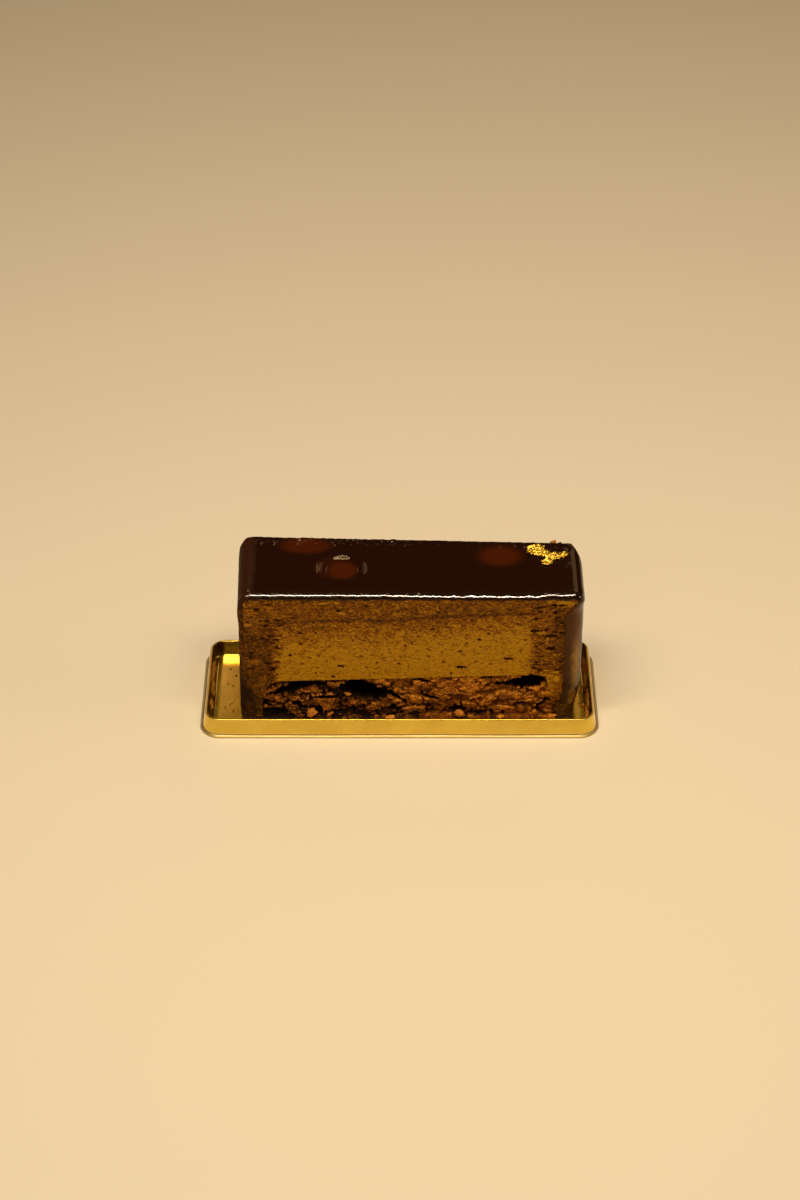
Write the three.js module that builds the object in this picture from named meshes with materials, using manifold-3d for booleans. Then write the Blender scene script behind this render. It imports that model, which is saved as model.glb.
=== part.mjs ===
// A slice of chocolate mousse cake in the small gold tray it is sold in.
// A bar of cake was glazed on its top and long sides and then cut across, so the slice has two cut
// faces, front and back, that show the layers, and two glazed ends, left and right.
// Millimetres. X runs along the slice, Y from the front cut to the back cut, Z up.
// The origin is the centre of the tray's foot, on the surface that it stands on.
import * as THREE from "three";
import { mergeVertices } from "three/addons/utils/BufferGeometryUtils.js";
import Module from "manifold-3d";

const wasm = await Module();
wasm.setup();

// ---------- Driving sizes ----------

const tray = {
  length: 128, // over the foot lip
  width: 45,
  cornerRadius: 6.5,
  height: 6.2, // of the rim over the table
  floor: 1.5, // top of the dished floor
  sheet: 0.5, // thickness of the pressed sheet
  lip: 0.8, // flat foot that turns out at the bottom of the skirt
  skirtLean: 1.0, // how far the skirt leans in on its way up
  crest: 0.7, // flat width of the rim
  wallLean: 1.5, // how far the inner wall leans in on its way down
};

const slice = {
  left: -51.3,
  right: 58,
  front: -14,
  backLeft: 18.25, // the back cut runs askew: the slice is thicker at its left end
  backRight: 14.4,
  top: 50.3,
  shoulder: 3.4, // rounding along the top of each end
};
const leftSkew = 0.8; // the left end stands further out at its back than at its front
const leftLean = 1.0; // and leans in on its way up
const rightTuck = 1.4; // the right end tucks in at its foot
const tuckHeight = 14;
const corners = {
  // The radius of a front corner goes from low to high between these two heights.
  frontLeft: { low: 5.5, high: 1.6, from: 5, to: 28 },
  frontRight: { low: 6.2, high: 2, from: 42, to: 50 },
  backRight: 7,
  backLeft: 3,
};

const glazeTop = 1.3; // thickness of the glaze on top
const glazeEnd = 0.9; // and down the ends
const clearance = 0.3; // between pieces that lie in each other
const dripLeft = 3.2; // lowest edge of the glaze on the left end
const dripRight = 7.5;
// An air bubble that sank back as the glaze set left a round dent in the top.
const dent = { x: -18.1, y: 1.1, depth: 0.85, floorRadius: 4.8, radius: 6.9, sides: 28 };

const insert = {
  left: -40.4,
  right: 41.2,
  topLeft: 39.6,
  topRight: 43.4,
  bottomLeft: 16.4,
  bottomRight: 18.9,
  cornerRadius: 2.2,
};

const base = {
  left: -44.2,
  right: 49.3,
  crag: 1.9, // deepest bite into its cut faces
  slump: 1.3, // how far its crumbled roof sinks at the cuts, beside the hollows
  columns: 66,
  rows: 9,
  depthSteps: 6,
};

const leaf = {
  left: 40, // a crumpled sheet this large is torn to the patches
  right: 54,
  front: 1,
  back: 14.5,
  thickness: 0.35,
  crumple: 1.0, // height of its folds
  cells: 20,
  patches: [
    { x: 43.6, y: 10.9, long: 2.7, short: 2.3, turn: 0.3 },
    { x: 47.5, y: 8.0, long: 3.1, short: 1.5, turn: -0.6 },
    { x: 51.3, y: 6.9, long: 1.9, short: 1.1, turn: 0.7 },
    { x: 46.9, y: 6.0, long: 1.3, short: 0.7, turn: 1.4 },
    { x: 46.3, y: 3.8, long: 1.8, short: 1.5, turn: 1.2 },
  ],
};

// ---------- Small tools ----------

const lerp = THREE.MathUtils.lerp;
const smooth = THREE.MathUtils.smoothstep;

// A repeatable number from 0 to 1 for a lattice point.
function hash(i, j, seed) {
  const s = Math.sin(i * 127.1 + j * 311.7 + seed * 74.7) * 43758.5453;
  return s - Math.floor(s);
}

// Smooth noise from 0 to 1 over a plane, with features about one unit wide.
function noise(x, y, seed) {
  const i = Math.floor(x);
  const j = Math.floor(y);
  const fx = smooth(x - i, 0, 1);
  const fy = smooth(y - j, 0, 1);
  const low = lerp(hash(i, j, seed), hash(i + 1, j, seed), fx);
  const high = lerp(hash(i, j + 1, seed), hash(i + 1, j + 1, seed), fx);
  return lerp(low, high, fy);
}

// A closed geometry as a solid that can be joined and cut.
function solid(geometry) {
  const bare = geometry.clone();
  bare.deleteAttribute("normal");
  bare.deleteAttribute("uv");
  const merged = mergeVertices(bare, 1e-4);
  return new wasm.Manifold(
    new wasm.Mesh({
      numProp: 3,
      vertProperties: merged.getAttribute("position").array,
      triVerts: new Uint32Array(merged.index.array),
    }),
  );
}

const slot = {
  tray: new THREE.MeshStandardMaterial({ color: 0xd9a93a, roughness: 0.22, metalness: 1 }),
  glaze: new THREE.MeshStandardMaterial({ color: 0x210d05, roughness: 0.1, metalness: 0 }),
  mousse: new THREE.MeshStandardMaterial({ color: 0x6b3f10, roughness: 0.55, metalness: 0 }),
  insert: new THREE.MeshStandardMaterial({ color: 0x8a6114, roughness: 0.5, metalness: 0 }),
  base: new THREE.MeshStandardMaterial({ color: 0x46240c, roughness: 0.7, metalness: 0 }),
  goldLeaf: new THREE.MeshStandardMaterial({ color: 0xe8bd3c, roughness: 0.3, metalness: 1 }),
};

function piece(name, made, material) {
  const mesh = made.getMesh();
  const geometry = new THREE.BufferGeometry()
    .setAttribute("position", new THREE.BufferAttribute(mesh.vertProperties, 3))
    .setIndex(new THREE.BufferAttribute(mesh.triVerts, 1));
  geometry.computeVertexNormals();
  const node = new THREE.Mesh(geometry, material);
  node.name = name;
  return node;
}

// ---------- Gold tray ----------

function roundedRectangle(length, width, radius) {
  const x = length / 2 - radius;
  const y = width / 2 - radius;
  const shape = new THREE.Shape();
  shape.absarc(x, y, radius, 0, Math.PI / 2);
  shape.absarc(-x, y, radius, Math.PI / 2, Math.PI);
  shape.absarc(-x, -y, radius, Math.PI, Math.PI * 1.5);
  shape.absarc(x, -y, radius, Math.PI * 1.5, Math.PI * 2);
  return shape;
}

// A slab with leaning sides: its outline is inset by insetLow at zLow and by insetHigh at zHigh.
function traySlab(insetLow, insetHigh, zLow, zHigh) {
  const length = tray.length - 2 * insetLow;
  const width = tray.width - 2 * insetLow;
  const outline = roundedRectangle(length, width, tray.cornerRadius - insetLow);
  const slab = new THREE.ExtrudeGeometry(outline, {
    depth: zHigh - zLow,
    bevelEnabled: false,
    curveSegments: 7,
  });
  const draw = insetHigh - insetLow;
  const point = slab.getAttribute("position");
  for (let i = 0; i < point.count; i++) {
    if (point.getZ(i) > 0) {
      point.setX(i, point.getX(i) * (1 - (2 * draw) / length));
      point.setY(i, point.getY(i) * (1 - (2 * draw) / width));
    }
  }
  return solid(slab.translate(0, 0, zLow));
}

function makeTray() {
  const { height, floor, sheet, lip, skirtLean, crest, wallLean } = tray;
  const crestInset = lip + skirtLean;
  const mouthInset = crestInset + crest;
  const footInset = mouthInset + wallLean;
  const foot = traySlab(0, 0, 0, sheet);
  const skirt = traySlab(lip, crestInset, 0, height);
  const dish = traySlab(footInset, mouthInset, floor, height + sheet);
  // The hollow under the rim, between the skirt and the wall of the dish.
  const under = traySlab(lip + sheet, crestInset + sheet, -sheet, height - sheet);
  const dishBack = traySlab(footInset - sheet, mouthInset - sheet, floor - sheet, height);
  return foot.add(skirt).subtract(under.subtract(dishBack)).subtract(dish);
}

// ---------- The block that the layers are cut from ----------

function backAt(x) {
  return lerp(slice.backLeft, slice.backRight, (x - slice.left) / (slice.right - slice.left));
}

// Seen from above. The coat is left off at the ends and round the corners, but not at the cuts.
function planOutline(coat) {
  const { backRight, backLeft } = corners;
  const frontLeft = corners.frontLeft.low;
  const frontRight = corners.frontRight.low;
  const quarter = Math.PI / 2;
  const shape = new THREE.Shape();
  shape.moveTo(slice.left + frontLeft, slice.front);
  shape.lineTo(slice.right - frontRight, slice.front);
  shape.absarc(slice.right - frontRight, slice.front + frontRight, frontRight - coat, -quarter, 0);
  shape.absarc(slice.right - backRight, slice.backRight - backRight, backRight - coat, 0, quarter);
  shape.lineTo(slice.right - backRight, backAt(slice.right - backRight));
  shape.lineTo(slice.left + backLeft, backAt(slice.left + backLeft));
  shape.absarc(
    slice.left - leftSkew + backLeft,
    backAt(slice.left) - backLeft,
    backLeft - coat,
    quarter,
    2 * quarter,
  );
  shape.absarc(
    slice.left + frontLeft,
    slice.front + frontLeft,
    frontLeft - coat,
    2 * quarter,
    3 * quarter,
  );
  return shape;
}

// Seen from the front: two rounded shoulders, a left end that leans and a right end that tucks in.
function frontOutline(coatEnd, coatTop) {
  const { left, right, top, shoulder } = slice;
  const shape = new THREE.Shape();
  shape.moveTo(left + coatEnd, tray.floor);
  shape.lineTo(right - rightTuck - coatEnd, tray.floor);
  shape.lineTo(right - coatEnd, tuckHeight);
  shape.absellipse(
    right - shoulder,
    top - shoulder,
    shoulder - coatEnd,
    shoulder - coatTop,
    0,
    Math.PI / 2,
    false,
    0,
  );
  shape.absellipse(
    left + leftLean + shoulder,
    top - shoulder,
    shoulder - coatEnd,
    shoulder - coatTop,
    Math.PI / 2,
    Math.PI,
    false,
    0,
  );
  return shape;
}

// An outline drawn as seen from the front, run from y = low to y = high.
function runThrough(outline, low, high) {
  const run = new THREE.ExtrudeGeometry(outline, {
    depth: high - low,
    bevelEnabled: false,
    curveSegments: 8,
  });
  return run.rotateX(Math.PI / 2).translate(0, high, 0);
}

// A front corner is rounder at its foot than at its head, so its arc closes up as it rises.
function tightenCorner(upright, end, inward, { low, high, from, to }, coat) {
  const point = upright.getAttribute("position");
  const touching = 1e-3;
  for (let i = 0; i < point.count; i++) {
    const along = (point.getX(i) - end) * inward;
    const deep = point.getY(i) - slice.front;
    if (along < low + touching && deep < low + touching) {
      const radius = lerp(low, high, smooth(point.getZ(i), from, to));
      const scale = (radius - coat) / (low - coat);
      point.setX(i, end + inward * (radius - (low - along) * scale));
      // The end of the straight cut only slides along it.
      if (deep > touching) point.setY(i, slice.front + radius - (low - deep) * scale);
    }
  }
}

// The left end of a run leans out towards the back.
function skewLeftEnd(run) {
  const point = run.getAttribute("position");
  for (let i = 0; i < point.count; i++) {
    if (point.getX(i) < 0) {
      const back = (point.getY(i) - slice.front) / (slice.backLeft - slice.front);
      point.setX(i, point.getX(i) - leftSkew * back);
    }
  }
  return run;
}

function block(coatEnd, coatTop) {
  const upright = new THREE.ExtrudeGeometry(planOutline(coatEnd), {
    depth: slice.top + 1,
    steps: 9,
    bevelEnabled: false,
    curveSegments: 8,
  });
  tightenCorner(upright, slice.left, 1, corners.frontLeft, coatEnd);
  tightenCorner(upright, slice.right, -1, corners.frontRight, coatEnd);
  const lengthwise = runThrough(frontOutline(coatEnd, coatTop), slice.front - 1, slice.backLeft + 1);
  return solid(upright).intersect(solid(skewLeftEnd(lengthwise)));
}

// ---------- Glaze: poured over the top, down the ends and round their corners ----------

function makeGlaze() {
  const coat = block(0, 0);
  // The core is the outline of the mousse, run out past both cuts so that no film is left on them.
  const core = block(glazeEnd, glazeTop);
  const glaze = coat.subtract(core);
  // The lower edge of the glaze is a wavy line, higher on the right end than on the left.
  const steps = 16;
  const trim = (side, height, seed) => {
    const edge = new THREE.Shape();
    edge.moveTo(-slice.backLeft - 4, -1);
    edge.lineTo(slice.backLeft + 4, -1);
    for (let i = steps; i >= 0; i--) {
      const y = lerp(-slice.backLeft - 4, slice.backLeft + 4, i / steps);
      edge.lineTo(y, height - 1.4 * noise(y / 5, 0, seed));
    }
    const across = new THREE.ExtrudeGeometry(edge, { depth: 30, bevelEnabled: false });
    // The outline's x becomes Y, its y becomes Z, and its depth runs along X.
    across.applyMatrix4(
      new THREE.Matrix4().set(0, 0, 1, side, 1, 0, 0, 0, 0, 1, 0, 0, 0, 0, 0, 1),
    );
    return solid(across);
  };
  return glaze
    .subtract(trim(slice.left - 10, dripLeft, 3))
    .subtract(trim(slice.right - 20, dripRight, 5))
    .subtract(dentRoom());
}

// A shallow cone from the dent's flat floor out to its edge, and up into the air.
function dentRoom() {
  const profile = [
    [0, -dent.depth],
    [dent.floorRadius, -dent.depth],
    [dent.radius, 0],
    [dent.radius, 1],
    [0, 1],
  ].map(([radius, height]) => new THREE.Vector2(radius, height));
  const room = new THREE.LatheGeometry(profile, dent.sides).rotateX(Math.PI / 2);
  return solid(room.translate(dent.x, dent.y, slice.top));
}

// ---------- Insert: the pale cream bar inside the mousse ----------

function insertOutline(grow) {
  const { left, right, topLeft, topRight, bottomLeft, bottomRight, cornerRadius } = insert;
  const radius = cornerRadius + grow;
  const shape = new THREE.Shape();
  shape.moveTo(left - grow, bottomLeft - grow);
  shape.lineTo(right + grow, bottomRight - grow);
  shape.absarc(right - cornerRadius, topRight - cornerRadius, radius, 0, Math.PI / 2);
  shape.absarc(left + cornerRadius, topLeft - cornerRadius, radius, Math.PI / 2, Math.PI);
  return shape;
}

function insertFloorAt(x) {
  const { left, right, bottomLeft, bottomRight } = insert;
  return lerp(bottomLeft, bottomRight, (x - left) / (right - left));
}

function makeInsert() {
  const bar = runThrough(insertOutline(0), slice.front - 1, slice.backLeft + 1);
  return solid(bar).intersect(block(0, 0));
}

// ---------- Base: crumbled chocolate biscuit, with hollows under the insert ----------

// How far the roof of the base drops at a cut face, in a few long hollows.
function hollow(x, seed) {
  const spots = [
    { at: -33, half: 11, deep: 4.0 },
    { at: -13, half: 10, deep: 5.8 },
    { at: 19, half: 7, deep: 1.8 },
    { at: 39, half: 9, deep: 4.2 },
  ];
  let drop = 0;
  for (const { at, half, deep } of spots) {
    const away = Math.abs(x - at - 3 * (seed - 1)) / half;
    drop = Math.max(drop, deep * (1 - smooth(away, 0.45, 1)));
  }
  return drop;
}

function makeBase() {
  const { left, right, crag, slump, columns, rows, depthSteps } = base;
  const grid = new THREE.BoxGeometry(1, 1, 1, columns, depthSteps, rows).translate(0.5, 0.5, 0.5);
  const point = grid.getAttribute("position");
  for (let i = 0; i < point.count; i++) {
    const u = point.getX(i);
    const v = point.getY(i);
    const w = point.getZ(i);
    const x = lerp(left, right, u);
    const atFront = v < 0.5;
    const seed = atFront ? 1 : 2;
    const nearCut = 1 - smooth(Math.min(v, 1 - v), 0.05, 0.35);
    const sunk = nearCut * (hollow(x, seed) + slump * noise(x / 2.2, v * 9, 7));
    const roof = insertFloorAt(x) - clearance - sunk;
    const z = lerp(tray.floor, roof, w);
    // Crags: bites of two sizes, none along the very bottom.
    const bite =
      crag * smooth(w, 0, 0.12) * (0.6 * noise(x / 3.1, z / 1.9, seed) + 0.4 * noise(x / 1.3, z, 9));
    const front = slice.front + (atFront ? bite : 0);
    const back = backAt(x) - (atFront ? 0 : bite);
    const pinch = 0.5 * noise(v * 6, w * 4, 11) * (u < 0.01 ? 1 : u > 0.99 ? -1 : 0);
    point.setXYZ(i, x + pinch, lerp(front, back, v), z);
  }
  return solid(grid);
}

// The room that the mousse leaves for the base.
function baseRoom() {
  const shape = new THREE.Shape();
  shape.moveTo(base.left - clearance, -1);
  shape.lineTo(base.right + clearance, -1);
  shape.lineTo(base.right + clearance, insertFloorAt(base.right));
  shape.lineTo(base.left - clearance, insertFloorAt(base.left));
  return solid(runThrough(shape, slice.front - 1, slice.backLeft + 1));
}

// The room that it leaves for the insert.
function insertRoom() {
  return solid(runThrough(insertOutline(clearance), slice.front - 2, slice.backLeft + 2));
}

// ---------- Mousse: what is left between the glaze, the insert and the base ----------

// The largest air bubbles that the knife opened, along one cut.
function bubbles(cutAt, seed) {
  const count = 14;
  let made = null;
  for (let i = 0; i < count; i++) {
    const onRight = i % 2 === 0;
    const x = onRight
      ? lerp(insert.right + 1.8, slice.right - corners.backRight, hash(i, 1, seed))
      : lerp(slice.left + 3.5, insert.left - 1.8, hash(i, 2, seed));
    const z = lerp(insert.bottomRight + 3, slice.top - 5, hash(i, 3, seed));
    const wide = 0.9 + 0.9 * hash(i, 4, seed);
    const bubble = new THREE.SphereGeometry(1, 8, 6).scale(wide, 0.9, 0.45 * wide);
    const opened = solid(bubble.translate(x, cutAt(x), z));
    made = made ? made.add(opened) : opened;
  }
  return made;
}

function makeMousse() {
  const inside = block(glazeEnd + clearance, glazeTop + clearance);
  return inside
    .subtract(insertRoom())
    .subtract(baseRoom())
    .subtract(bubbles(() => slice.front, 21))
    .subtract(bubbles(backAt, 22));
}

// ---------- Gold leaf: one torn, crumpled scrap on the glaze ----------

function makeGoldLeaf() {
  const { left, right, front, back, thickness, crumple, cells } = leaf;
  const sheet = new THREE.BoxGeometry(right - left, back - front, thickness, cells, cells, 1);
  sheet.translate((left + right) / 2, (front + back) / 2, 0);
  const point = sheet.getAttribute("position");
  for (let i = 0; i < point.count; i++) {
    const lift = crumple * noise(point.getX(i) * 0.9, point.getY(i) * 0.9, 33);
    point.setZ(i, point.getZ(i) + slice.top + clearance + thickness / 2 + lift);
  }
  let scrap = null;
  for (const { x, y, long, short, turn } of leaf.patches) {
    const patch = new THREE.Shape().absellipse(x, y, long, short, 0, 2 * Math.PI, false, turn);
    const depth = slice.top + crumple + 2;
    const punch = new THREE.ExtrudeGeometry(patch, { depth, bevelEnabled: false, curveSegments: 7 });
    scrap = scrap ? scrap.add(solid(punch)) : solid(punch);
  }
  return solid(sheet).intersect(scrap);
}

// ---------- The whole ----------

const cake = new THREE.Group();
cake.add(
  piece("tray", makeTray(), slot.tray),
  piece("glaze", makeGlaze(), slot.glaze),
  piece("mousse", makeMousse(), slot.mousse),
  piece("insert", makeInsert(), slot.insert),
  piece("base", makeBase(), slot.base),
  piece("gold_leaf", makeGoldLeaf(), slot.goldLeaf),
);

export default cake;
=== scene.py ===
"""A slice of chocolate mousse cake in its small gold tray: the looks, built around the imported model."""

import math
import random

import bmesh
import bpy
from mathutils import Matrix, Vector, kdtree, noise


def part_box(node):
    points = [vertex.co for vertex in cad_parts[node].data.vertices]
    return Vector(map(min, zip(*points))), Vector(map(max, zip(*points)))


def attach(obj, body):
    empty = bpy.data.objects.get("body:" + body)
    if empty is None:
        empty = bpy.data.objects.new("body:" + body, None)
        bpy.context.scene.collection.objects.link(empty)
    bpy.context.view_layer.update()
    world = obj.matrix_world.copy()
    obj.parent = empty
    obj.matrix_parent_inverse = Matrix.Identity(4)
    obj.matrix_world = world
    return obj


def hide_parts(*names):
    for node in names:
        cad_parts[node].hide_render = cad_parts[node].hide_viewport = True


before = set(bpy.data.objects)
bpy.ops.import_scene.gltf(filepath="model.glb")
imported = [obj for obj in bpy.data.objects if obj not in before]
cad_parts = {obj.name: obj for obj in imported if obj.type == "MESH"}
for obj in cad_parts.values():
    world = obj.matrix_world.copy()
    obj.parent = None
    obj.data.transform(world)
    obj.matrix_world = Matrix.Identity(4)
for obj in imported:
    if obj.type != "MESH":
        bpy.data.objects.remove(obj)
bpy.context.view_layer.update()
NOISE_SEED = 7
noise.seed_set(NOISE_SEED)  # left unset, noise_vector would start from the clock

# ---------- Camera ----------
# Stands in front of the slice and looks down on it, as a seated person does.

CAMERA_PLACE = (0.00016, -0.6816, 0.5566)
CAMERA_DIP = 37.243  # degrees below level
FOCAL_LENGTH = 2695.2  # in pixels of the photograph
PHOTO_HEIGHT = 1200
SENSOR = 36.0

camera_data = bpy.data.cameras.new("camera")
camera_data.sensor_width = SENSOR
camera_data.lens = FOCAL_LENGTH / PHOTO_HEIGHT * SENSOR
camera_data.clip_start = 0.01
camera = bpy.data.objects.new("camera", camera_data)
camera.location = CAMERA_PLACE
camera.rotation_euler = (math.radians(90 - CAMERA_DIP), 0, 0)
bpy.context.scene.collection.objects.link(camera)
bpy.context.scene.camera = camera

# ---------- Gold tray ----------
# One sheet of gold film plastic, half a millimetre thick, pressed warm over a mould. The sheet
# rises from a dished floor to a narrow rim, comes down again as a skirt and turns out in a foot.

MM = 0.001
TRAY_LENGTH = 128.0
TRAY_WIDTH = 45.0
TRAY_CORNER = 6.5
TRAY_HEIGHT = 6.2
TRAY_FLOOR = 1.5
SHEET = 0.5
SKIRT_FOOT = 0.8  # insets from the outline of the foot lip
SKIRT_HEAD = 1.8
DISH_HEAD = 2.5
DISH_FOOT = 4.0
DISH_MIDDLE = 6.0
ARC_STEPS = 14
LONG_CUTS = 23  # in the tray's long edges
SWAY = 0.12


def mix(a, b, t):
    return a + (b - a) * t


def ramp(x, low, high):
    """0 below low, 1 above high, smooth between."""
    t = min(1.0, max(0.0, (x - low) / (high - low)))
    return t * t * (3 - 2 * t)


def rounded_path(corners, steps=5):
    """A line through corners (a, b, radius), with each radius as an arc."""
    path = [Vector(corners[0][:2])]
    for before, (a, b, radius), after in zip(corners, corners[1:], corners[2:]):
        corner = Vector((a, b))
        back = (Vector(before[:2]) - corner).normalized()
        ahead = (Vector(after[:2]) - corner).normalized()
        half = back.angle(ahead) / 2
        if radius == 0 or half > math.radians(89):
            path.append(corner)
            continue
        middle = corner + (back + ahead).normalized() * radius / math.sin(half)
        start = corner + back * radius / math.tan(half) - middle
        end = corner + ahead * radius / math.tan(half) - middle
        turn = start.angle_signed(end)
        for step in range(steps + 1):
            swung = start.copy()
            swung.rotate(Matrix.Rotation(-turn * step / steps, 2))
            path.append(middle + swung)
    path.append(Vector(corners[-1][:2]))
    return path


def placed(name, bm, material):
    """The drawn mesh as an object in the scene."""
    mesh = bpy.data.meshes.new(name)
    bm.to_mesh(mesh)
    bm.free()
    mesh.materials.append(material)
    made = bpy.data.objects.new(name, mesh)
    bpy.context.scene.collection.objects.link(made)
    return made


def finished(name, bm, material):
    """The mesh, drawn in millimetres, as an object in metres that rides on the slice's one body."""
    bmesh.ops.scale(bm, vec=(MM, MM, MM), verts=bm.verts)
    bmesh.ops.recalc_face_normals(bm, faces=bm.faces)
    made = placed(name, bm, material)
    made.data.shade_smooth()
    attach(made, "root")
    return made


class Wire:
    """A shader socket that Python's operators work on: each one adds a Math node to its tree."""

    def __init__(self, socket):
        self.socket = socket

    def node(self, kind, settings=None, values=None, out=0):
        """Adds a node, with its settings and then its sockets' values or wires; gives one output."""
        tree = self.socket.id_data
        made = tree.nodes.new("ShaderNode" + kind)
        for name, value in (settings or {}).items():
            if name == "stops":
                ramp_stops = made.color_ramp.elements
                while len(ramp_stops) < len(value):
                    ramp_stops.new(0.5)
                for stop, (place, colour) in zip(ramp_stops, value):
                    stop.position = place
                    stop.color = (*colour, 1)
            else:
                setattr(made, name, value)
        for name, value in (values or {}).items():
            if isinstance(value, Wire):
                tree.links.new(value.socket, made.inputs[name])
            else:
                made.inputs[name].default_value = value
        return Wire(made.outputs[out])

    def math(self, operation, *others):
        values = dict(enumerate((self, *others)))
        return self.node("Math", {"operation": operation}, values)

    def __add__(self, other):
        return self.math("ADD", other)

    __radd__ = __add__

    def __sub__(self, other):
        return self.math("SUBTRACT", other)

    def __rsub__(self, other):
        return self.node("Math", {"operation": "SUBTRACT"}, {0: other, 1: self})

    def __mul__(self, other):
        return self.math("MULTIPLY", other)

    __rmul__ = __mul__

    def __truediv__(self, other):
        return self.math("DIVIDE", other)

    def clamp(self):
        return self.node("Clamp", None, {"Value": self})

    def between(self, low, high):
        """0 where this is below low, 1 where it is above high, smooth between."""
        values = {"Value": self, "From Min": low, "From Max": high}
        return self.node("MapRange", {"interpolation_type": "SMOOTHSTEP"}, values)

    def blend(self, low, high):
        """A colour that goes from low to high as this goes from 0 to 1."""
        tree = self.socket.id_data
        made = tree.nodes.new("ShaderNodeMix")
        made.data_type = "RGBA"
        tree.links.new(self.clamp().socket, made.inputs["Factor"])
        colour_sockets = [s for s in made.inputs if s.type == "RGBA"]
        for socket, colour in zip(colour_sockets, (low, high)):
            if isinstance(colour, Wire):
                tree.links.new(colour.socket, socket)
            else:
                socket.default_value = (*colour, 1)
        return Wire(next(s for s in made.outputs if s.type == "RGBA"))

    def stretched(self, scale):
        """Place, stretched by a factor along each axis before a pattern reads it."""
        return self.node("Mapping", None, {"Vector": self, "Scale": scale})

    def grain(self, scale, detail=2.0, roughness=0.5):
        """Soft noise with features about 1 / scale metres wide."""
        values = {"Vector": self, "Scale": scale, "Detail": detail, "Roughness": roughness}
        return self.node("TexNoise", None, values)

    def cells(self, scale):
        return self.node("TexVoronoi", None, {"Vector": self, "Scale": scale})

    def along(self, axis):
        """One coordinate of a place, in millimetres."""
        return self.node("SeparateXYZ", None, {"Vector": self}, out="XYZ".index(axis)) / MM

    def painted(self, name):
        """The number that the mesh's vertices carry under this name."""
        return self.node("Attribute", {"attribute_name": name}, out=2)

    def bumped(self, strength, distance, normal=None):
        values = {"Height": self, "Strength": strength, "Distance": distance}
        if normal is not None:
            values["Normal"] = normal
        return self.node("Bump", None, values)


def new_material(name, **constants):
    """A material, the wire of the place on the object, and its shader's sockets to fill."""
    material = bpy.data.materials.new(name)
    material.use_nodes = True
    tree = material.node_tree
    shader = tree.nodes["Principled BSDF"]
    for socket, value in constants.items():
        shader.inputs[socket.replace("_", " ")].default_value = value
    place = Wire(tree.nodes.new("ShaderNodeTexCoord").outputs["Object"])

    def paint(**varying):
        for socket, wire in varying.items():
            tree.links.new(wire.socket, shader.inputs[socket.replace("_", " ")])

    return material, place, paint


tray_profile = rounded_path(
    [
        (DISH_MIDDLE, TRAY_FLOOR, 0),
        (DISH_FOOT, TRAY_FLOOR, 0.7),
        (DISH_HEAD, TRAY_HEIGHT, 0.26),
        (SKIRT_HEAD, TRAY_HEIGHT, 0.26),
        (SKIRT_FOOT, SHEET, 0.35),
        (0, SHEET, 0.18),
        (0, 0, 0.1),
        (SKIRT_FOOT + SHEET, 0, 0.1),
        (2.24, 5.3, 0.1),
        (DISH_FOOT - SHEET, TRAY_FLOOR - SHEET, 0.2),
        (DISH_MIDDLE, TRAY_FLOOR - SHEET, 0),
    ]
)


def verts_in(parts):
    return [part for part in parts if isinstance(part, bmesh.types.BMVert)]


def next_ring(bm, ring):
    """Draws a ring of edges out into a new one; gives its edges and vertices."""
    made = bmesh.ops.extrude_edge_only(bm, edges=ring)["geom"]
    moved = verts_in(made)
    new_verts = set(moved)
    return [e for e in made if isinstance(e, bmesh.types.BMEdge) and set(e.verts) <= new_verts], moved


def tray_place(number, inset, z):
    quadrant, step = divmod(number, ARC_STEPS + 1)
    angle = math.pi / 2 * (quadrant + step / ARC_STEPS)
    side = -1 if quadrant in (1, 2) else 1
    end = -1 if quadrant in (2, 3) else 1
    radius = TRAY_CORNER - inset
    x = side * (TRAY_LENGTH / 2 - TRAY_CORNER) + radius * math.cos(angle)
    y = end * (TRAY_WIDTH / 2 - TRAY_CORNER) + radius * math.sin(angle)
    return Vector((x, y, z))


bm = bmesh.new()
number_of = bm.verts.layers.int.new("number")
bmesh.ops.create_circle(bm, segments=4 * (ARC_STEPS + 1), radius=1)
for number, vert in enumerate(bm.verts):
    vert[number_of] = number
    vert.co = tray_place(number, *tray_profile[0])
ring = bm.edges[:]
first_ring = ring
for inset, z in tray_profile[1:]:
    ring, moved = next_ring(bm, ring)
    for vert in moved:
        vert.co = tray_place(vert[number_of], inset, z)
bmesh.ops.contextual_create(bm, geom=first_ring)
bmesh.ops.contextual_create(bm, geom=ring)
long_edges = [e for e in bm.edges if e.calc_length() > 20]
bmesh.ops.subdivide_edges(bm, edges=long_edges, cuts=LONG_CUTS, use_grid_fill=True)
for vert in bm.verts:
    # The warm sheet never lies dead flat.
    if vert.co.z > SHEET + 0.1:
        sway = noise.noise_vector(vert.co * 0.06)
        vert.co += Vector((sway.x, sway.y, 0)) * SWAY

lacquer = {"Coat_Weight": 1.0, "Coat_Roughness": 0.1, "Coat_IOR": 1.6}
gold, place, paint = new_material("gold_film", Metallic=1.0, **lacquer)
haze = place.grain(160, 3)
bright = haze.between(0.3, 0.7).blend((0.73, 0.48, 0.03), (0.83, 0.58, 0.05))
foot_lip = place.along("Z").between(1.2, 0.7)  # paler and duller along the foot lip
paint(
    Base_Color=foot_lip.blend(bright, (0.52, 0.38, 0.13)),
    Roughness=0.14 + haze * 0.18 + 0.3 * foot_lip,
    Normal=place.grain(55, 2).bumped(0.25, 0.0006),
)
tray = finished("gold_tray", bm, gold)
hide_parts("tray")

# ---------- Biscuit base ----------
# Crushed dark chocolate biscuit, bound with butter and pressed into the bottom of the bar. The
# knife dragged clumps out of both cuts, and left long hollows between the biscuit and the cream.

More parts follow.
